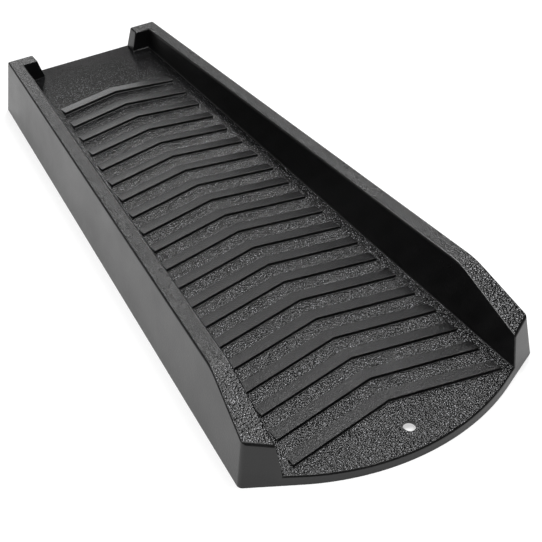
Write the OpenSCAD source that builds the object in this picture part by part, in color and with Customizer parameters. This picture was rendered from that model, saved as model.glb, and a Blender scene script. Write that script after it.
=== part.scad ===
// Downspout splash block: a tapered open trough that carries roof water away from a wall.
// The origin is the bottom centre of the overall box. +Z is up, +Y is the narrow back end
// and -Y the wide front. Lengths called "run" count forward from the back edge.

/* [Overall size] */
// Length from the back edge to the middle of the rounded front
block_l = 610; // [560:5:660]
// Width across the side walls on the ground, at the back
back_w = 180; // [170:1:200]
// Width that the side lines reach on the ground, at the front
front_w = 273; // [255:1:300]
// Radius of the rounded front, on the ground
nose_r = 205; // [195:1:215]
// Angle to each side at which the rounded front runs on straight, in degrees
cheek_angle = 27; // [24:0.5:29]
// Lean of the front, in degrees
nose_draft = 9.5; // [5:0.5:11]

/* [Side walls] */
// Height of a wall at the back
wall_h_back = 54; // [48:1:64]
// Height of a wall at the shoulder, where its top turns down
wall_h_shoulder = 60; // [56:1:70]
// Run to the shoulder
shoulder_run = 506; // [480:2:520]
// Angle of the wall top in front of the shoulder, in degrees
nose_slope = 20; // [12:1:24]
// Radius of the turn at the shoulder
shoulder_r = 50; // [20:5:60]
// Lean of the outer face, in degrees
outer_draft = 9; // [5:0.5:10]
// Lean of the inner face, in degrees
inner_draft = 5; // [3:0.5:6]
// Width between the inner faces, carried down to the ground, at the back
channel_w_back = 128; // [124:1:132]
// Width that the inner faces reach on the ground, at the front
channel_w_front = 210.5; // [206:0.5:216]

/* [Trough floor] */
// Height of the floor at the back
floor_h_back = 34.5; // [28:0.5:38]
// Height of the floor at the front
floor_h_front = 7; // [6:0.5:12]
// Run at which the floor becomes the front apron
apron_run = 578; // [576:1:580]
// Diameter of the hole for a ground stake
stake_d = 10; // [6:0.5:12]
// Run to the stake hole
stake_run = 587; // [586:1:590]

/* [Back corners] */
// Width of the open back between the two corner returns, on the floor
return_gap_w = 100; // [90:1:110]
// Depth of a corner return along the trough
return_depth = 16.5; // [12:0.5:20]
// Lean of the side of a return that faces the trough, in degrees
return_draft = 15; // [5:1:16]
// Lean of the back end, in degrees
back_draft = 2.3; // [1:0.1:4]

/* [Chevron ribs] */
// Run to the point of the first rib's front face
first_rib_run = 80.4; // [70:0.2:84]
// Distance from rib to rib
rib_pitch = 25.25; // [24:0.05:25.25]
// Length of a rib's ramp along the trough
rib_l = 12; // [8:0.5:16]
// Height of a rib's front face
rib_h = 3; // [1.5:0.1:4]
// Angle that each arm sweeps forward, in degrees
rib_sweep = 10.2; // [4:0.2:11]
// Half length of the first rib
rib_half_l = 59; // [50:1:60]
// Growth of the half length for each millimetre of run
rib_growth = 0.0723; // [0.06:0.001:0.075]

/* [Shell] */
// Thickness of the moulded shell
shell_t = 3; // [2:0.25:4]
// Thickness of the cross webs under the floor
web_t = 2.5; // [1.5:0.25:4]
// Gap between the webs and the ground
web_lift = 2; // [1:0.5:4]

/* [Hidden] */
rib_count = 20;
rib_names = [for (i = [1:rib_count]) str("rib_", i < 10 ? "0" : "", i)];
web_runs = [130, 260, 390];
sides = ["left", "right"];
wall_parts = ["outer_skin", "inner_skin", "rim", "rim_slope", "nose_end", "back_end"];
wall_names = [for (side = sides) for (part = wall_parts) str(side, "_", part)];
big = 4 * block_l;
slop = 1;
arc_steps = 12;
back_y = block_l / 2;
outer_flare = (front_w - back_w) / 2 / block_l;
inner_flare = (channel_w_front - channel_w_back) / 2 / block_l;
floor_angle = atan((floor_h_back - floor_h_front) / block_l);
rise_angle = atan((wall_h_shoulder - wall_h_back) / shoulder_run);
$fn = 180;

// Where a forward run lies along Y.
function y_at(run) = back_y - run;

// Height of the floor's top at a run.
function floor_z(run) = floor_h_back - run * tan(floor_angle);

// The rounded turn of the wall top at the shoulder, as [run, height] points.
function shoulder_arc(drop) =
    let (turn = nose_slope + rise_angle,
         tangent = shoulder_r * tan(turn / 2),
         start = [shoulder_run - tangent * cos(rise_angle),
                  wall_h_shoulder - tangent * sin(rise_angle)],
         centre = start - shoulder_r * [-sin(rise_angle), cos(rise_angle)],
         r = shoulder_r - drop)
    [for (i = [0:arc_steps])
        let (a = 90 + rise_angle - turn * i / arc_steps)
        centre + r * [cos(a), sin(a)]];

// Everything on the trough's side of a leaning, tapering plane on the right.
// The plane stands at half_w on the ground at the back.
module inside_plane(half_w, flare, lean) {
    turn = atan(flare);
    translate([half_w, back_y, 0])
        rotate([0, atan(tan(lean) * cos(turn)), turn])
            translate([-big, -big / 2, -big / 2])
                cube(big);
}

module inside_outer(inset = 0)
    inside_plane(back_w / 2 - inset, outer_flare, -outer_draft);

module inside_inner(inset = 0)
    inside_plane(channel_w_back / 2 - inset, inner_flare, inner_draft);

// A side profile in [run, height], stretched right across the block.
module across(points)
    translate([0, back_y, 0])
        rotate([90, 0, -90])
            linear_extrude(height = big, center = true)
                polygon(points);

// The side view of a wall, with its top lowered by drop.
module wall_side(drop, foot)
    across(concat([[-big, foot], [-big, wall_h_back - drop - big * tan(rise_angle)]],
                  shoulder_arc(drop),
                  [[block_l, wall_h_shoulder - drop
                             - (block_l - shoulder_run) * tan(nose_slope)],
                   [block_l, foot]]));

// All that lies below the floor's top, or drop lower.
module below_floor(drop = 0)
    across([[-slop, floor_z(-slop) - drop], [block_l + slop, floor_z(block_l + slop) - drop],
            [block_l + slop, -big], [-slop, -big]]);

// All that lies to the left of a line from the front's centre, turned to an angle.
module left_of_ray(angle)
    rotate(angle)
        translate([-big, -big / 2, -big / 2])
            cube(big);

// The round middle of the front, between its straight cheeks.
module nose_cap(inset) {
    reach = wall_h_shoulder + 2 * slop;
    lean = tan(nose_draft);
    intersection() {
        translate([0, 0, -slop])
            cylinder(h = reach, r1 = nose_r - inset + slop * lean,
                     r2 = nose_r - inset - (reach - slop) * lean);
        left_of_ray(cheek_angle);
        mirror([1, 0, 0]) left_of_ray(cheek_angle);
        translate([-big / 2, -big, -big / 2]) cube(big);
    }
}

// What lies behind the right cheek.
module cheek(inset)
    rotate(cheek_angle)
        translate([0, inset - nose_r, 0])
            rotate([-nose_draft, 0, 0])
                translate([0, 0, -big / 2])
                    cube(big);

// All that lies behind the rounded front, or inset further back.
module behind_nose(inset = 0)
    translate([0, nose_r - back_y, 0]) {
        nose_cap(inset);
        cheek(inset);
        mirror([1, 0, 0]) cheek(inset);
    }

// All that lies in front of the leaning back end, or inset further in.
module before_back(inset = 0)
    translate([0, back_y - inset, 0])
        rotate([back_draft, 0, 0])
            translate([-big / 2, -big, -big / 2])
                cube(big);

module right_half()
    translate([0, -big / 2, -big / 2])
        cube(big);

module above_ground()
    translate([-big / 2, -big / 2, 0])
        cube(big);

// The whole body of the right wall, from the trough's face to the outer face.
module wall_body()
    difference() {
        intersection() {
            wall_side(0, 0);
            inside_outer();
            behind_nose();
            before_back();
            right_half();
        }
        inside_inner();
    }

// What lies inside the right wall's outer skin, and between its two ends.
module between_ends()
    intersection() {
        wall_body();
        inside_outer(shell_t);
        behind_nose(shell_t);
        before_back(shell_t);
    }

module outer_skin()
    difference() {
        wall_body();
        inside_outer(shell_t);
    }

module back_end()
    difference() {
        intersection() {
            wall_body();
            inside_outer(shell_t);
        }
        before_back(shell_t);
    }

module nose_end()
    difference() {
        intersection() {
            wall_body();
            inside_outer(shell_t);
        }
        behind_nose(shell_t);
    }

// The level top of a wall, as far as its shoulder.
module rim()
    difference() {
        between_ends();
        wall_side(shell_t, -slop);
        in_front_of(shoulder_run);
    }

// The top of a wall in front of its shoulder.
module rim_slope()
    difference() {
        intersection() {
            between_ends();
            in_front_of(shoulder_run);
        }
        wall_side(shell_t, -slop);
    }

// The inner skin of a wall, which stops at the floor.
module inner_skin()
    difference() {
        intersection() {
            between_ends();
            inside_inner(-shell_t);
            wall_side(shell_t, 0);
        }
        below_floor(shell_t);
    }

// The block of a right corner return, inset on every side that shows.
module return_block(inset)
    intersection() {
        inside_inner();
        translate([return_gap_w / 2 + inset, 0, floor_z(0)])
            rotate([0, return_draft, 0])
                right_half();
        translate([0, y_at(return_depth) + inset, 0])
            cube(big);
        before_back(inset);
        wall_side(inset, 0);
    }

module corner_return()
    difference() {
        return_block(0);
        below_floor();
        return_block(shell_t);
    }

// The space between the inner faces of both walls.
module between_walls()
    intersection() {
        inside_inner();
        mirror([1, 0, 0]) inside_inner();
        above_ground();
        behind_nose();
        before_back();
    }

module floor_slab()
    difference() {
        intersection() {
            between_walls();
            below_floor();
        }
        below_floor(shell_t);
    }

// All that lies in front of a run.
module in_front_of(run)
    translate([-big / 2, y_at(run) - big, -big / 2])
        cube(big);

module floor_panel()
    color("#2b2c2e")
    difference() {
        floor_slab();
        in_front_of(apron_run);
        for (side = [0, 1])
            mirror([side, 0, 0]) return_block(shell_t);
    }

module front_apron()
    color("#2b2c2e")
    difference() {
        intersection() {
            between_walls();
            below_floor();
            in_front_of(apron_run);
        }
        intersection() {
            below_floor(shell_t);
            behind_nose(shell_t);
        }
        translate([0, y_at(stake_run), -slop])
            cylinder(h = floor_h_back, d = stake_d);
    }

// Puts a right-hand piece on its side, in the walls' colour.
module on_side(side)
    color("#232427")
    mirror([side == "left" ? 1 : 0, 0, 0])
        children();

module back_skirt()
    color("#232427")
    difference() {
        intersection() {
            between_walls();
            below_floor(shell_t);
        }
        before_back(shell_t);
    }

// A cross web under the floor, from wall to wall.
module cross_web(number)
    color("#232427")
    intersection() {
        between_walls();
        below_floor(shell_t);
        translate([-big / 2, y_at(web_runs[number - 1]) - web_t / 2, web_lift])
            cube([big, web_t, big]);
    }

// One chevron rib: each arm is a ramp that climbs forward to an upright front face.
module rib(number) {
    run = first_rib_run + (number - 1) * rib_pitch;
    half_l = rib_half_l + (number - 1) * rib_pitch * rib_growth;
    ramp = [[-rib_l, 0], [0, 0], [0, rib_h]];
    color("#262729")
    translate([0, back_y, floor_h_back])
        rotate([floor_angle, 0, 0])
            translate([0, -run / cos(floor_angle), 0])
                for (side = [0, 1])
                    mirror([side, 0, 0])
                        intersection() {
                            rotate([90, 0, -90 - rib_sweep])
                                linear_extrude(height = 4 * half_l, center = true)
                                    polygon(ramp);
                            translate([0, -half_l, -slop])
                                cube([half_l, 2 * half_l, rib_h + 2 * slop]);
                        }
}

floor_panel();
front_apron();
back_skirt();
cross_web(1);  // cross_web_1
cross_web(2);  // cross_web_2
cross_web(3);  // cross_web_3
for (side = sides) {
    on_side(side) corner_return();
    on_side(side) outer_skin();
    on_side(side) inner_skin();
    on_side(side) rim();
    on_side(side) rim_slope();
    on_side(side) nose_end();
    on_side(side) back_end();
}
for (i = [1:rib_count])
    rib(i);
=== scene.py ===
"""Downspout splash block: the visual model, its finishes, its lights and its camera.

Lengths are in metres. +Z is up, +Y is the narrow back end and -Y the wide front.
A "run" is a distance forward from the back edge.
"""

import logging
import math
from dataclasses import dataclass, field
from enum import Enum

import bmesh
import bpy
from mathutils import Matrix, Vector

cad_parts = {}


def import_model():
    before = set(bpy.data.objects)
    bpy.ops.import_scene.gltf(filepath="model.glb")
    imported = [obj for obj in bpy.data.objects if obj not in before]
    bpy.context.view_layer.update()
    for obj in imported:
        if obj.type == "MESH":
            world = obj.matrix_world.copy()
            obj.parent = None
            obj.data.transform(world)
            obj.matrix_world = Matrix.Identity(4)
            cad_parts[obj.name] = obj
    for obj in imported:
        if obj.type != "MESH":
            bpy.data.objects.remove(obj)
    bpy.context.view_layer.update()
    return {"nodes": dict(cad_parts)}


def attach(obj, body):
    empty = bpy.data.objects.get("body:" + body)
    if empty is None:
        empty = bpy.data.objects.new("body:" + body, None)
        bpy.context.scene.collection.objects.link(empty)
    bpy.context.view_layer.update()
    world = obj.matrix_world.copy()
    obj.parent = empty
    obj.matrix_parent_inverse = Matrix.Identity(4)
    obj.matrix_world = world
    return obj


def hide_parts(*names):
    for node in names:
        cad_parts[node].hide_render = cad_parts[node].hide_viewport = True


LOG = logging.getLogger("splash_block")
MM = 0.001
BODY = "root"
# The Mix node repeats its socket names for each data type, so colours go by number.
COLOUR_A, COLOUR_B, COLOUR_RESULT = 6, 7, 2
# Texture scales are in waves per metre.
TOOTH_SCALE = 2600.0
CLOUD_SCALE = 16.0
SWIRL_PER_PEBBLE = 1.1
GRAIN_SHARE = 0.6
GRAIN_BASE = 0.15
# The painted glints on the grain's highest tops: how soft their edge is, and how much less rough they
# are.
GLINT_SOFTNESS = 0.12
GLINT_SMOOTHING = 0.06
DUST_GAIN = 1.8
DUST_FROM, DUST_TO = 0.4, 0.7
CUT_THRESHOLD = 1e-6
SMOOTH_ANGLE = math.radians(32)
WALL_PARTS = ("outer_skin", "inner_skin", "rim", "rim_slope", "nose_end", "back_end", "return")
SHELL_NODES = ("floor_panel", "front_apron", "back_skirt") + tuple(
    f"{side}_{part}" for side in ("left", "right") for part in WALL_PARTS)
WEB_NODES = ("cross_web_1", "cross_web_2", "cross_web_3")


class Slot(Enum):
    """The record's material slots that the pieces carry."""

    GRAINED = "grained_floor"
    RIB = "rib_face"


class Side(Enum):
    """The two sides of the block, as the sign of X."""

    LEFT = -1
    RIGHT = 1


# ---------------------------------------------------------------- shader maths


class Sock:
    """A shader value, wrapped so that Python arithmetic adds Math nodes."""

    def __init__(self, graph: "Graph", socket: bpy.types.NodeSocket) -> None:
        """Keep the socket and the graph that it belongs to."""
        self.graph = graph
        self.socket = socket

    def _math(self, operation: str, *values: object) -> "Sock":
        """Add one Math node and return its result."""
        return self.graph.node("ShaderNodeMath", {"operation": operation}, dict(enumerate(values)))

    def __add__(self, other: object) -> "Sock":
        """Return self + other."""
        return self._math("ADD", self, other)

    def __sub__(self, other: object) -> "Sock":
        """Return self - other."""
        return self._math("SUBTRACT", self, other)

    def __rsub__(self, other: object) -> "Sock":
        """Return other - self."""
        return self._math("SUBTRACT", other, self)

    def __mul__(self, other: object) -> "Sock":
        """Return self * other."""
        return self._math("MULTIPLY", self, other)

    __radd__ = __add__
    __rmul__ = __mul__


class Graph:
    """The node tree of one material."""

    def __init__(self, name: str) -> None:
        """Create the material with an empty tree.

        Args:
            name: The material's name.
        """
        self.material = bpy.data.materials.new(name)
        self.material.use_nodes = True
        self.tree = self.material.node_tree
        self.tree.nodes.clear()

    def node(self, kind: str, settings: dict, inputs: dict, output: object = 0) -> Sock:
        """Add a node, set it up and link its inputs.

        Args:
            kind: The node's type.
            settings: Its properties, which are set before its inputs.
            inputs: Its inputs by name or number, as values or wrapped sockets.
            output: The name or number of the output to return.

        Returns:
            The wrapped output socket.
        """
        made = self.tree.nodes.new(kind)
        for key, value in settings.items():
            setattr(made, key, value)
        for key, value in inputs.items():
            if isinstance(value, Sock):
                self.tree.links.new(value.socket, made.inputs[key])
            else:
                made.inputs[key].default_value = value
        return Sock(self, made.outputs[output] if output is not None else None)

    def ramp(self, value: Sock, low: float, high: float) -> Sock:
        """Return 0 below low and 1 above high, with a smooth step between."""
        return self.node(
            "ShaderNodeMapRange", {"clamp": True, "interpolation_type": "SMOOTHSTEP"},
            {"Value": value, "From Min": low, "From Max": high})

    def mix(self, first: object, second: object, share: Sock) -> Sock:
        """Mix two colours.

        Args:
            first: The colour at a share of 0.
            second: The colour at a share of 1.
            share: How much of the second.

        Returns:
            The mixed colour.
        """
        return self.node(
            "ShaderNodeMix", {"data_type": "RGBA"},
            {"Factor": share, COLOUR_A: first, COLOUR_B: second}, COLOUR_RESULT)

    def finish(self, shader: Sock) -> None:
        """Join a shader to the material's output."""
        self.node("ShaderNodeOutputMaterial", {}, {"Surface": shader}, None)


@dataclass(frozen=True)
class Plastic:
    """A black moulded plastic finish.

    Attributes:
        name: The material's name.
        shade: The base colour's linear grey.
        glint_grey: The grey of the painted glints on the highest tops of the grain.
        glint_cut: The grain height above which a top gets a painted glint, from 0 to 1.
        roughness: The mean roughness.
        haze: How far the roughness drifts from place to place.
        pebble: The size of a grain pebble, in metres.
        depth: The height of the grain, in metres.
        tooth: The height of the fine tooth over everything, in metres.
        calm_y: Where along Y the grain would fade out.
        rough_y: Where along Y the grain is at its full height.
    """

    name: str
    shade: float
    glint_grey: float
    glint_cut: float
    roughness: float
    haze: float
    pebble: float
    depth: float
    tooth: float
    calm_y: float = 1.0
    rough_y: float = 0.9

    def grain(self, g: Graph, place: Sock) -> Sock:
        """Return the height of the moulded grain, about 0 to 1.

        Args:
            g: The graph to add to.
            place: Where on the object.
        """
        swirl = g.node(
            "ShaderNodeTexNoise", {},
            {"Vector": place, "Scale": SWIRL_PER_PEBBLE / self.pebble, "Detail": 2.0,
             "Roughness": 0.6}, "Fac")
        cells = g.node(
            "ShaderNodeTexVoronoi", {"feature": "F1"},
            {"Vector": place, "Scale": 1.0 / self.pebble, "Randomness": 1.0}, "Distance")
        return (1.0 - cells) * GRAIN_SHARE + swirl * GRAIN_SHARE - GRAIN_BASE

    def build(self) -> bpy.types.Material:
        """Build the node material.

        Returns:
            The material.
        """
        g = Graph(self.name)
        place = g.node("ShaderNodeTexCoord", {}, {}, "Object")
        grain = self.grain(g, place)
        tooth = g.node(
            "ShaderNodeTexNoise", {},
            {"Vector": place, "Scale": TOOTH_SCALE, "Detail": 2.0, "Roughness": 0.6}, "Fac")
        cloud = g.node(
            "ShaderNodeTexNoise", {},
            {"Vector": place, "Scale": CLOUD_SCALE, "Detail": 5.0, "Roughness": 0.6}, "Fac")
        along = g.node("ShaderNodeSeparateXYZ", {}, {"Vector": place}, "Y")
        strength = g.node(
            "ShaderNodeMapRange", {"clamp": True},
            {"Value": along, "From Min": self.calm_y, "From Max": self.rough_y})
        # Painted glints: the grain's highest tops get a pale base colour that stands in for specular
        # glints, faded along Y with the grain.
        painted_glint = g.ramp(grain, self.glint_cut, self.glint_cut + GLINT_SOFTNESS) * strength
        bump = g.node(
            "ShaderNodeBump", {},
            {"Height": grain * strength * self.depth + tooth * self.tooth,
             "Strength": 1.0, "Distance": 1.0},
            "Normal")
        rough = (cloud - 0.5) * self.haze + self.roughness - painted_glint * GLINT_SMOOTHING
        dusty = g.ramp(cloud, DUST_FROM, DUST_TO)
        # The base colour: the plastic's grey, lighter in random clouds, with the painted glints laid
        # on top.
        colour = g.mix(
            g.mix(grey(self.shade), grey(self.shade * DUST_GAIN), dusty), grey(self.glint_grey), painted_glint)
        shader = g.node(
            "ShaderNodeBsdfPrincipled", {},
            {"Base Color": colour, "Roughness": rough, "IOR": 1.5, "Normal": bump}, "BSDF")
        g.finish(shader)
        return g.material


def grey(value: float) -> tuple[float, float, float, float]:
    """Return a linear grey with the faint blue of carbon black."""
    return (value, value * 1.01, value * 1.05, 1.0)


# The glint grey of each finish is a painted glint, brightest on the grained floor and the coarse
# slopes.
SMOOTH = Plastic(
    "smooth_black_plastic", shade=0.004, glint_grey=0.012, glint_cut=0.7, roughness=0.33, haze=0.3,
    pebble=1.4 * MM, depth=0.08 * MM, tooth=0.006 * MM)
GRAINED = Plastic(
    "grained_black_plastic", shade=0.003, glint_grey=0.34, glint_cut=0.58, roughness=0.21, haze=0.12,
    pebble=1.5 * MM, depth=1.1 * MM, tooth=0.01 * MM, calm_y=0.31, rough_y=-0.05)
COARSE = Plastic(
    "coarse_black_plastic", shade=0.004, glint_grey=0.32, glint_cut=0.56, roughness=0.25, haze=0.12,
    pebble=1.6 * MM, depth=1.0 * MM, tooth=0.01 * MM)
RIB = Plastic(
    "rib_black_plastic", shade=0.005, glint_grey=0.09, glint_cut=0.7, roughness=0.33, haze=0.12,
    pebble=1.3 * MM, depth=0.4 * MM, tooth=0.008 * MM)
RIM = Plastic(
    "fine_rim_black_plastic", shade=0.002, glint_grey=0.08, glint_cut=0.66, roughness=0.26, haze=0.12,
    pebble=1.3 * MM, depth=0.6 * MM, tooth=0.008 * MM)


# ---------------------------------------------------------------- modelling helpers


@dataclass(frozen=True)
class HalfSpace:
    """All that lies against a plane's normal."""

    point: Vector
    normal: Vector

    def depth(self, place: Vector) -> float:
        """Return how deep inside a place is, negative outside."""
        return (self.point - place).dot(self.normal)


def select_only(*objects: bpy.types.Object) -> None:
    """Deselect everything, then select these objects and make the first one active."""
    bpy.ops.object.select_all(action="DESELECT")
    for obj in objects:
        obj.select_set(True)
    bpy.context.view_layer.objects.active = objects[0]


def convex_solid(name: str, spaces: list[HalfSpace], reach: float = 1.0) -> bpy.types.Object:
    """Cut a cube down to the room that several half spaces share.

    Args:
        name: The object's name.
        spaces: The half spaces.
        reach: Half the size of the cube that is cut.

    Returns:
        The closed solid, with its place in its mesh.
    """
    bpy.ops.object.select_all(action="DESELECT")
    bpy.ops.mesh.primitive_cube_add(size=2 * reach)
    obj = bpy.context.object
    obj.name = name
    bpy.ops.object.mode_set(mode="EDIT")
    for space in spaces:
        bpy.ops.mesh.select_all(action="SELECT")
        bpy.ops.mesh.bisect(
            plane_co=space.point, plane_no=space.normal, use_fill=True, clear_outer=True,
            threshold=CUT_THRESHOLD,
        )
    bpy.ops.mesh.select_all(action="SELECT")
    bpy.ops.mesh.normals_make_consistent(inside=False)
    bpy.ops.object.mode_set(mode="OBJECT")
    return obj


def apply_boolean(target: bpy.types.Object, cutter: bpy.types.Object, operation: str) -> None:
    """Apply a boolean with a cutter and delete the cutter.

    Args:
        target: The object that changes.
        cutter: The object it is combined with.
        operation: DIFFERENCE, UNION or INTERSECT.
    """
    select_only(target)
    modifier = target.modifiers.new("cut", "BOOLEAN")
    modifier.operation = operation
    modifier.solver = "EXACT"
    modifier.object = cutter
    bpy.ops.object.modifier_apply(modifier=modifier.name)
    bpy.data.objects.remove(cutter, do_unlink=True)


def shade(obj: bpy.types.Object) -> None:
    """Shade the rounds smooth and keep the flats flat."""
    select_only(obj)
    bpy.ops.object.shade_smooth_by_angle(angle=SMOOTH_ANGLE)
    flats = obj.modifiers.new("flats", "WEIGHTED_NORMAL")
    flats.keep_sharp = True
    bpy.ops.object.modifier_apply(modifier=flats.name)


# ---------------------------------------------------------------- the moulded shell


@dataclass
class MouldedShell:
    """The trough's shell: floor, side walls, corner returns, skirt and rounded front."""

    length: float = 610 * MM
    back_w: float = 180 * MM
    front_w: float = 273 * MM
    nose_r: float = 205 * MM
    cheek_angle: float = math.radians(27)
    nose_draft: float = math.radians(9.5)
    wall_h_back: float = 54 * MM
    wall_h_shoulder: float = 60 * MM
    shoulder_run: float = 506 * MM
    nose_slope: float = math.radians(20)
    shoulder_r: float = 50 * MM
    outer_draft: float = math.radians(9)
    inner_draft: float = math.radians(5)
    channel_w_back: float = 128 * MM
    channel_w_front: float = 210.5 * MM
    floor_h_back: float = 34.5 * MM
    floor_h_front: float = 7 * MM
    return_gap_w: float = 100 * MM
    return_depth: float = 16.5 * MM
    return_draft: float = math.radians(15)
    back_draft: float = math.radians(2.3)
    stake_d: float = 10 * MM
    stake_run: float = 587 * MM
    wall_t: float = 3 * MM
    corner_round: float = 3 * MM
    end_round: float = 2 * MM
    lip_round: float = 1.8 * MM
    edge_round: float = 1.5 * MM
    foot_fillet: float = 1.5 * MM
    hole_round: float = 0.4 * MM
    past_trough: float = 2.0
    slack: float = 0.05 * MM
    weld: float = 0.02 * MM
    flat_angle: float = math.radians(0.3)
    crisp_angle: float = math.radians(12)
    bevel_segments: int = 4
    floor_band: float = 0.6 * MM
    wall_clear: float = 5 * MM
    floor_up: float = 0.9
    rim_up: float = 0.985
    slope_up: float = 0.92
    hole_steps: int = 48
    arc_steps: int = 12
    nose_steps: int = 36

    @property
    def back_y(self) -> float:
        """Where the back edge lies."""
        return self.length / 2

    @property
    def stake_y(self) -> float:
        """Where the stake hole lies."""
        return self.back_y - self.stake_run

    @property
    def floor_tilt(self) -> float:
        """The floor's slope, in radians."""
        return math.atan((self.floor_h_back - self.floor_h_front) / self.length)

    def floor_z(self, run: float) -> float:
        """Height of the floor's top at a run."""
        return self.floor_h_back - run * math.tan(self.floor_tilt)

    def side_plane(self, side: Side, half_back: float, half_front: float, lean: float) -> HalfSpace:
        """Return the half space inside a leaning, tapering side plane.

        Args:
            side: Which side it is on.
            half_back: Its distance from the middle on the ground at the back.
            half_front: Its distance on the ground at the front.
            lean: Its lean outwards with height, in radians.
        """
        flare = (half_front - half_back) / self.length
        normal = Vector((side.value, flare, -math.tan(lean))).normalized()
        return HalfSpace(Vector((side.value * half_back, self.back_y, 0)), normal)

    def outer(self, side: Side, inset: float = 0.0) -> HalfSpace:
        """Return the half space inside the outer face, or inset further in."""
        return self.side_plane(
            side, self.back_w / 2 - inset, self.front_w / 2 - inset, -self.outer_draft)

    def inner(self, side: Side, inset: float = 0.0) -> HalfSpace:
        """Return the half space inside the inner face, or inset further in."""
        return self.side_plane(
            side, self.channel_w_back / 2 - inset, self.channel_w_front / 2 - inset,
            self.inner_draft)

    def flip(self, space: HalfSpace) -> HalfSpace:
        """Return the other side of a half space."""
        return HalfSpace(space.point, -space.normal)

    def under_floor(self, drop: float = 0.0) -> HalfSpace:
        """Return the half space below the floor's top, or drop lower."""
        tilt = self.floor_tilt
        return HalfSpace(
            Vector((0, self.back_y, self.floor_h_back - drop)),
            Vector((0, -math.sin(tilt), math.cos(tilt))))

    def ground(self, lift: float = 0.0) -> HalfSpace:
        """Return the half space above the ground, or above a height."""
        return HalfSpace(Vector((0, 0, lift)), Vector((0, 0, -1)))

    def before_back(self, inset: float = 0.0) -> HalfSpace:
        """Return the half space in front of the leaning back end."""
        return HalfSpace(
            Vector((0, self.back_y - inset, 0)),
            Vector((0, math.cos(self.back_draft), math.sin(self.back_draft))))

    def wall_top(self, drop: float = 0.0) -> list[HalfSpace]:
        """Return the half spaces below the wall's top, round its shoulder and down its slope."""
        rise = math.atan((self.wall_h_shoulder - self.wall_h_back) / self.shoulder_run)
        turn = self.nose_slope + rise
        tangent = self.shoulder_r * math.tan(turn / 2)
        start_run = self.shoulder_run - tangent * math.cos(rise)
        start_z = self.wall_h_shoulder - tangent * math.sin(rise)
        centre = Vector((0, self.back_y - start_run - self.shoulder_r * math.sin(rise),
                         start_z - self.shoulder_r * math.cos(rise)))
        radius = self.shoulder_r - drop
        flats = [(0.0, radius), (1.0, radius)]
        chord = radius * math.cos(turn / self.arc_steps / 2)
        chords = [((step + 0.5) / self.arc_steps, chord) for step in range(self.arc_steps)]
        spaces = []
        for share, reach in flats + chords:
            angle = math.pi / 2 + rise - turn * share
            out = Vector((0, -math.cos(angle), math.sin(angle)))
            spaces.append(HalfSpace(centre + reach * out, out))
        return spaces

    def nose(self, inset: float = 0.0) -> list[HalfSpace]:
        """Return the half spaces behind the leaning front: round, with a straight cheek each side."""
        spaces = []
        centre = Vector((0, self.nose_r - self.back_y, 0))
        for step in range(self.nose_steps + 1):
            angle = self.cheek_angle * (2 * step / self.nose_steps - 1)
            out = Vector((math.sin(angle), -math.cos(angle), 0))
            normal = (out + Vector((0, 0, math.tan(self.nose_draft)))).normalized()
            spaces.append(HalfSpace(centre + (self.nose_r - inset) * out, normal))
        return spaces

    def block(self) -> bpy.types.Object:
        """Make the solid block that the trough is cut from."""
        return convex_solid("moulded_shell", [
            self.ground(), self.before_back(), self.outer(Side.LEFT), self.outer(Side.RIGHT),
            *self.wall_top(), *self.nose()])

    def trough(self, grow: float = 0.0) -> bpy.types.Object:
        """Make the full-length room between the walls, or one that is larger all round."""
        return convex_solid("trough", [
            self.inner(Side.LEFT, -grow), self.inner(Side.RIGHT, -grow),
            self.flip(self.under_floor(grow))])

    def cut_underside(self, shell: bpy.types.Object) -> None:
        """Cut the open underside: the room under the floor and inside each wall."""
        t = self.wall_t
        room = convex_solid("room", [
            self.ground(-t), self.before_back(t), self.outer(Side.LEFT, t),
            self.outer(Side.RIGHT, t), *self.nose(t), *self.wall_top(t)])
        apply_boolean(room, self.trough(t), "DIFFERENCE")
        apply_boolean(shell, room, "DIFFERENCE")

    def corner_return(self, side: Side) -> bpy.types.Object:
        """Make the room of the block that closes one back corner, past the trough's ends."""
        past_gap = HalfSpace(
            Vector((side.value * self.return_gap_w / 2, 0, self.floor_h_back)),
            Vector((-side.value, 0, math.tan(self.return_draft))).normalized())
        behind_face = HalfSpace(
            Vector((0, self.back_y - self.return_depth, 0)), Vector((0, -1, 0)))
        return convex_solid("corner_return", [past_gap, behind_face], reach=self.past_trough)

    def channel(self) -> bpy.types.Object:
        """Make the solid that the trough takes out, without the two corner returns."""
        channel = self.trough()
        for side in Side:
            apply_boolean(channel, self.corner_return(side), "DIFFERENCE")
        return channel

    def drill_stake_hole(self, shell: bpy.types.Object) -> None:
        """Drill the hole for a ground stake."""
        bpy.ops.object.select_all(action="DESELECT")
        bpy.ops.mesh.primitive_cylinder_add(
            vertices=self.hole_steps, radius=self.stake_d / 2, depth=self.wall_h_back,
            location=(0, self.stake_y, 0))
        cutter = bpy.context.object
        bpy.ops.object.transform_apply(location=True, rotation=True, scale=True)
        apply_boolean(shell, cutter, "DIFFERENCE")

    def tidy_faces(self, shell: bpy.types.Object) -> None:
        """Merge what the cuts left on flat faces."""
        select_only(shell)
        bpy.ops.object.mode_set(mode="EDIT")
        bpy.ops.mesh.select_all(action="SELECT")
        bpy.ops.mesh.remove_doubles(threshold=self.weld)
        bpy.ops.mesh.dissolve_limited(angle_limit=self.flat_angle)
        bpy.ops.mesh.normals_make_consistent(inside=False)
        bpy.ops.object.mode_set(mode="OBJECT")

    def shows(self, point: Vector) -> bool:
        """Say whether a point is on the outside of the shell, and not on the ground or under it."""
        if point.z < self.foot_fillet:
            return False
        skins = [self.outer(Side.LEFT), self.outer(Side.RIGHT), self.before_back(),
                 *self.nose(), *self.wall_top()]
        on_skin = any(space.depth(point) < self.slack for space in skins)
        in_trough = all(self.inner(side).depth(point) > -self.slack for side in Side)
        return on_skin or (in_trough and self.under_floor().depth(point) < self.slack)

    def on_nose(self, point: Vector) -> bool:
        """Say whether a point is on the leaning front."""
        return any(space.depth(point) < self.slack for space in self.nose())

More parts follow.
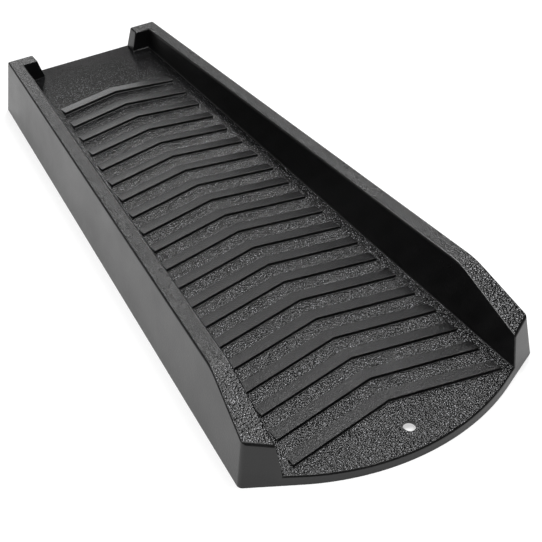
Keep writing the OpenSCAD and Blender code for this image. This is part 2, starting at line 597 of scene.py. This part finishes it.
    def edge_width(self, edge: bmesh.types.BMEdge) -> float:
        """Return how wide a crisp edge's round or fillet is, or 0 for none.

        Args:
            edge: The edge.
        """
        ends = [vertex.co for vertex in edge.verts]
        middle = (ends[0] + ends[1]) / 2
        crisp = len(edge.link_faces) == 2 and edge.calc_face_angle(0) > self.crisp_angle
        if not crisp or not self.shows(middle):
            return 0.0
        on_floor = all(abs(self.under_floor().depth(point)) < self.slack for point in ends)
        if not edge.is_convex:
            in_gap = middle.y > self.back_y - self.return_depth + self.slack
            return self.foot_fillet if on_floor and not in_gap else 0.0
        if on_floor and math.hypot(middle.x, middle.y - self.stake_y) < self.stake_d:
            return self.hole_round
        if on_floor:
            return self.lip_round
        if all(self.on_nose(point) for point in ends):
            outside = any(self.outer(side).depth(middle) < self.slack for side in Side)
            return self.corner_round if outside else self.end_round
        return self.edge_round

    def round_edges(self, shell: bpy.types.Object) -> None:
        """Round the crisp edges that show, and fillet the foot of each wall."""
        work = bmesh.new()
        work.from_mesh(shell.data)
        weight = work.edges.layers.float.new("bevel_weight_edge")
        for edge in work.edges:
            edge[weight] = self.edge_width(edge) / self.corner_round
        work.to_mesh(shell.data)
        work.free()
        select_only(shell)
        bevel = shell.modifiers.new("round", "BEVEL")
        bevel.limit_method = "WEIGHT"
        bevel.width = self.corner_round
        bevel.segments = self.bevel_segments
        bevel.use_clamp_overlap = False
        bpy.ops.object.modifier_apply(modifier=bevel.name)

    def finish_of(self, face: bpy.types.MeshPolygon) -> Plastic:
        """Say which finish a face of the shell has.

        Args:
            face: The face.

        Returns:
            Its finish.
        """
        height = -self.under_floor().depth(face.center)
        up = face.normal.z
        if abs(height) < self.floor_band and up > self.floor_up:
            return GRAINED
        if height > self.wall_clear and up > self.rim_up:
            return RIM
        before_shoulder = face.center.y < self.back_y - self.shoulder_run
        if height > self.wall_clear and up > self.slope_up and before_shoulder:
            return COARSE
        return SMOOTH

    def dress(self, shell: bpy.types.Object, finishes: dict[Plastic, bpy.types.Material]) -> None:
        """Give the floor, the wall tops and the other skins their own finishes.

        Args:
            shell: The moulded shell.
            finishes: The material of each finish.
        """
        order = list(finishes)
        shell.data.materials.clear()
        for finish in order:
            shell.data.materials.append(finishes[finish])
        for face in shell.data.polygons:
            face.material_index = order.index(self.finish_of(face))

    def build(self, finishes: dict[Plastic, bpy.types.Material]) -> bpy.types.Object:
        """Build the whole shell and place it on the frame.

        Args:
            finishes: The material of each finish.

        Returns:
            The shell.
        """
        shell = self.block()
        apply_boolean(shell, self.channel(), "DIFFERENCE")
        self.cut_underside(shell)
        self.drill_stake_hole(shell)
        self.tidy_faces(shell)
        self.round_edges(shell)
        self.dress(shell, finishes)
        shade(shell)
        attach(shell, BODY)
        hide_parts(*SHELL_NODES)
        return shell


# ---------------------------------------------------------------- the ribs


@dataclass
class ChevronRibs:
    """The twenty ribs that break the water's run."""

    shell: MouldedShell
    count: int = 20
    first_run: float = 80.4 * MM
    pitch: float = 25.25 * MM
    ramp_l: float = 12 * MM
    height: float = 3 * MM
    sweep: float = math.radians(10.2)
    first_half_l: float = 59 * MM
    growth: float = 0.0723
    sink: float = 0.25 * MM
    crest_r: float = 0.3 * MM
    foot_r: float = 0.9 * MM
    spare_ramps: int = 3
    weld: float = 0.01 * MM
    arc_steps: int = 5

    def profile(self) -> list[tuple[float, float]]:
        """Return the rib's section as (forward, up) points, with crest and foot rounded."""
        slope = math.atan(self.height / self.ramp_l)
        reach = self.crest_r * math.tan((math.pi / 2 + slope) / 2)
        points = [(-self.ramp_l, -self.sink), (-self.ramp_l, 0.0)]
        centre = (-self.crest_r, self.height - reach)
        for step in range(self.arc_steps + 1):
            angle = math.pi / 2 + slope - (math.pi / 2 + slope) * step / self.arc_steps
            points.append((centre[0] + self.crest_r * math.cos(angle),
                           centre[1] + self.crest_r * math.sin(angle)))
        for step in range(self.arc_steps + 1):
            angle = math.pi + (math.pi / 2) * step / self.arc_steps
            points.append((self.foot_r + self.foot_r * math.cos(angle),
                           self.foot_r + self.foot_r * math.sin(angle)))
        points.append((self.foot_r, -self.sink))
        return points

    def arm(self, half_l: float) -> bpy.types.Object:
        """Sweep the section along one arm, cut it at the middle and at its end, and mirror it.

        Args:
            half_l: The rib's half length.

        Returns:
            The chevron, about its own point and on a level floor.
        """
        section = self.profile()
        bpy.ops.object.select_all(action="DESELECT")
        bpy.ops.mesh.primitive_circle_add(vertices=len(section), radius=MM, fill_type="NGON")
        rib = bpy.context.object
        start = -self.ramp_l
        along = Vector((math.cos(self.sweep), -math.sin(self.sweep), 0))
        forward = Vector((-math.sin(self.sweep), -math.cos(self.sweep), 0))
        for vertex, (ahead, up) in zip(rib.data.vertices, section):
            vertex.co = start * along + ahead * forward + Vector((0, 0, up))
        bpy.ops.object.mode_set(mode="EDIT")
        bpy.ops.mesh.select_all(action="SELECT")
        sweep_l = (half_l + self.spare_ramps * self.ramp_l) * along
        bpy.ops.mesh.extrude_region_move(TRANSFORM_OT_translate={"value": sweep_l})
        for x, way in ((0.0, -1), (half_l, 1)):
            bpy.ops.mesh.select_all(action="SELECT")
            bpy.ops.mesh.bisect(
                plane_co=(x, 0, 0), plane_no=(way, 0, 0), clear_outer=True, use_fill=way > 0,
                threshold=CUT_THRESHOLD)
        bpy.ops.object.mode_set(mode="OBJECT")
        mirror = rib.modifiers.new("other_arm", "MIRROR")
        mirror.use_clip = True
        mirror.merge_threshold = self.weld
        bpy.ops.object.modifier_apply(modifier=mirror.name)
        bpy.ops.object.mode_set(mode="EDIT")
        bpy.ops.mesh.select_all(action="SELECT")
        bpy.ops.mesh.normals_make_consistent(inside=False)
        bpy.ops.object.mode_set(mode="OBJECT")
        return rib

    def build(self, finish: bpy.types.Material) -> list[bpy.types.Object]:
        """Build every rib in its place on the sloping floor.

        Args:
            finish: The ribs' finish.

        Returns:
            The ribs, from the back to the front.
        """
        ribs = []
        tilt = self.shell.floor_tilt
        for index in range(self.count):
            run = self.first_run + index * self.pitch
            rib = self.arm(self.first_half_l + index * self.pitch * self.growth)
            rib.name = f"chevron_rib_{index + 1:02d}"
            place = (Matrix.Translation((0, self.shell.back_y, self.shell.floor_h_back))
                     @ Matrix.Rotation(tilt, 4, "X")
                     @ Matrix.Translation((0, -run / math.cos(tilt), 0)))
            rib.data.transform(place)
            rib.data.materials.append(finish)
            shade(rib)
            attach(rib, BODY)
            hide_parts(f"rib_{index + 1:02d}")
            ribs.append(rib)
        return ribs


# ---------------------------------------------------------------- studio


@dataclass(frozen=True)
class Lamp:
    """One square soft light that faces the block.

    Attributes:
        name: The lamp's name.
        place: Where it hangs.
        size: Its side, in metres.
        power: Its power, in watts.
    """

    name: str
    place: Vector
    size: float
    power: float

    def hang(self) -> None:
        """Add the lamp to the scene."""
        data = bpy.data.lights.new(self.name, "AREA")
        data.shape = "SQUARE"
        data.size = self.size
        data.energy = self.power
        lamp = bpy.data.objects.new(self.name, data)
        bpy.context.scene.collection.objects.link(lamp)
        lamp.location = self.place
        lamp.rotation_euler = (-self.place).to_track_quat("-Z", "Y").to_euler()


LAMPS = (
    Lamp("overhead", Vector((0.3, -0.3, 1.6)), 0.5, 9.0),
    Lamp("overhead_left", Vector((-0.4, -0.2, 1.5)), 0.7, 16.0),
    Lamp("overhead_right", Vector((0.68, 0.72, 1.6)), 0.5, 20.0),
    Lamp("back", Vector((0.3, 2.2, 0.6)), 1.0, 8.0),
    Lamp("back_left", Vector((-1.3, 1.3, 0.8)), 1.0, 1.0),
    Lamp("back_right", Vector((1.2, 1.4, 0.8)), 1.0, 2.0))


@dataclass
class Studio:
    """The floor, the lights and the camera."""

    azimuth: float = math.radians(-29.9)
    elevation: float = math.radians(39.77)
    roll: float = math.radians(-1.19)
    distance: float = 1.0097
    aim: Vector = field(default_factory=lambda: Vector((0.00875, -0.06986, 0.0)))
    lens: float = 77.84
    sensor: float = 36.0
    shift: tuple[float, float] = (-0.0028, 0.0031)
    near: float = 0.01
    far: float = 50.0
    floor_size: float = 40.0
    floor_grey: tuple[float, float, float, float] = (0.45, 0.45, 0.45, 1.0)
    white: tuple[float, float, float, float] = (1.0, 1.0, 1.0, 1.0)
    floor_glow: float = 0.58
    room_light: float = 0.02

    def camera(self) -> bpy.types.Object:
        """Create the camera and make it the scene's."""
        data = bpy.data.cameras.new("camera")
        data.lens = self.lens
        data.sensor_width = self.sensor
        data.shift_x, data.shift_y = self.shift
        data.clip_start = self.near
        data.clip_end = self.far
        cam = bpy.data.objects.new("camera", data)
        bpy.context.scene.collection.objects.link(cam)
        ahead = Vector((
            -math.sin(self.azimuth) * math.cos(self.elevation),
            math.cos(self.azimuth) * math.cos(self.elevation),
            -math.sin(self.elevation)))
        level = Vector((math.cos(self.azimuth), math.sin(self.azimuth), 0))
        over = level.cross(ahead)
        right = level * math.cos(self.roll) + over * math.sin(self.roll)
        up = over * math.cos(self.roll) - level * math.sin(self.roll)
        place = Matrix((right, up, -ahead)).transposed().to_4x4()
        place.translation = self.aim - ahead * self.distance
        cam.matrix_world = place
        bpy.context.scene.camera = cam
        return cam

    def floor(self) -> bpy.types.Object:
        """Lay the plain floor, which glows white so that the block casts hardly any shadow."""
        bpy.ops.object.select_all(action="DESELECT")
        bpy.ops.mesh.primitive_plane_add(size=self.floor_size)
        floor = bpy.context.object
        floor.name = "studio_floor"
        g = Graph("pale_floor")
        g.finish(g.node(
            "ShaderNodeBsdfPrincipled", {},
            {"Base Color": self.floor_grey, "Roughness": 0.9, "Specular IOR Level": 0.0,
             "Emission Color": self.white, "Emission Strength": self.floor_glow}, "BSDF"))
        floor.data.materials.append(g.material)
        return floor

    def world(self) -> None:
        """Fill the room with a plain pale light."""
        world = bpy.data.worlds.new("room")
        world.use_nodes = True
        background = world.node_tree.nodes["Background"]
        background.inputs["Color"].default_value = self.white
        background.inputs["Strength"].default_value = self.room_light
        bpy.context.scene.world = world

    def build(self) -> None:
        """Set up the whole studio."""
        scene = bpy.context.scene
        scene.view_settings.view_transform = "Standard"
        self.camera()
        self.floor()
        self.world()
        for lamp in LAMPS:
            lamp.hang()


# ---------------------------------------------------------------- main


def dress_webs(frame: dict, finish: bpy.types.Material) -> None:
    """Give the carried-over webs under the floor their finish.

    Args:
        frame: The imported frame.
        finish: The smooth finish.
    """
    for name in WEB_NODES:
        web = frame["nodes"][name]
        web.data.materials.clear()
        web.data.materials.append(finish)


def main() -> None:
    """Build the splash block and its studio."""
    logging.basicConfig(level=logging.INFO, format="%(name)s: %(message)s")
    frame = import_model()
    Studio().build()
    finishes = {finish: finish.build() for finish in (SMOOTH, GRAINED, COARSE, RIM)}
    shell = MouldedShell()
    piece = shell.build(finishes)
    LOG.info("%s: %d faces", piece.name, len(piece.data.polygons))
    for rib in ChevronRibs(shell).build(RIB.build()):
        LOG.info("%s: %d faces", rib.name, len(rib.data.polygons))
    dress_webs(frame, finishes[SMOOTH])


if __name__ == "__main__":
    main()
